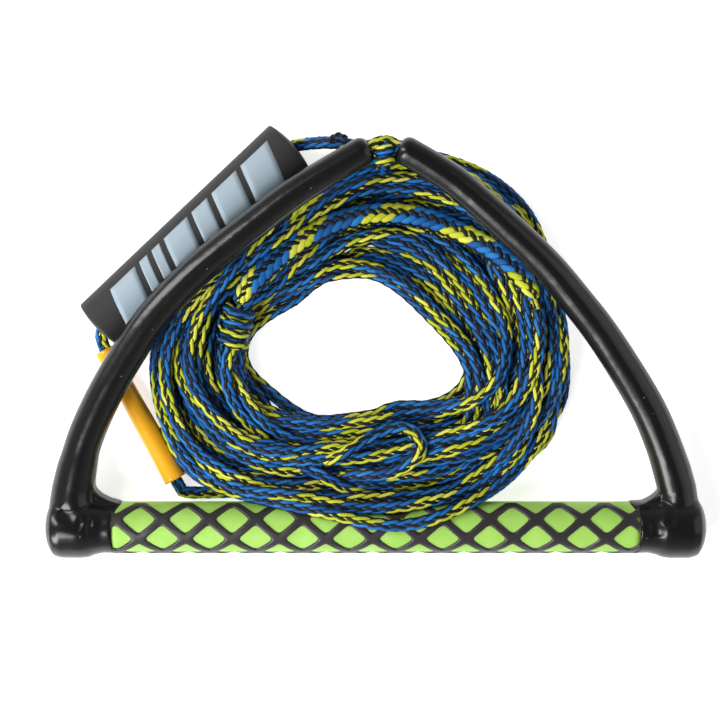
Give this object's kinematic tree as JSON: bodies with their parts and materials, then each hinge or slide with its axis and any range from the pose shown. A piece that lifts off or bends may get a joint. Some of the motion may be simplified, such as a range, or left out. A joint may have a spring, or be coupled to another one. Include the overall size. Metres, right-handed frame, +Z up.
{
  "type": "tow rope handle",
  "caption": "Water sports tow handle: foam grip bar, two bowed arms over a rope bridle, foam float, and its braided tow rope coiled through it.",
  "frame": {"origin": "on the surface it lies on, under the middle of the handle's own bounding box", "axes": "+X along the grip bar, +Y from the bar towards the arm tips, +Z up from the surface"},
  "size_m": [0.3808, 0.2484, 0.0602],
  "materials": {
    "aluminium": "plain drawn tube",
    "grip_foam": "matt bright green foam",
    "lattice_rubber": "satin black raised net",
    "plug": "moulded",
    "vinyl": "glossy black dipped vinyl",
    "rope": "braided blue, black and yellow-green strands",
    "dark_rope": "twisted black and grey ends",
    "float_foam": null,
    "amber_tube": "translucent amber vinyl tube"
  },
  "bodies": {
    "handle": {"bar_tube": "aluminium", "grip_sleeve": "grip_foam", "grip_lattice": "lattice_rubber", "end_plug_left": "plug", "end_plug_right": "plug", "stopper_knot_left": "rope", "stopper_knot_right": "rope", "corner_boot_left": "vinyl", "corner_boot_right": "vinyl", "arm_sleeve_left": "vinyl", "arm_sleeve_right": "vinyl", "bridle_rope": "rope", "bridle_hitch": "rope", "hitch_splice": "rope", "splice_tail": "dark_rope", "tow_line": "rope", "rope_coil": "rope", "coil_wraps": "rope", "eye_splice": "rope", "rope_bight": "rope"},
    "float": {"foam_float": "float_foam"},
    "sleeve": {"line_sleeve": "amber_tube"}
  },
  "joints": [
    {"name": "float_spin", "type": "hinge", "parent": "handle", "child": "float", "pos_m": [-0.1042, 0.06454, 0.0165], "axis": [0.7254, 0.6884, 0], "continuous": true},
    {"name": "sleeve_slide", "type": "slide", "parent": "handle", "child": "sleeve", "axis": [0.4833, -0.8755, 0], "range_m": [0, 0.006]}
  ]
}
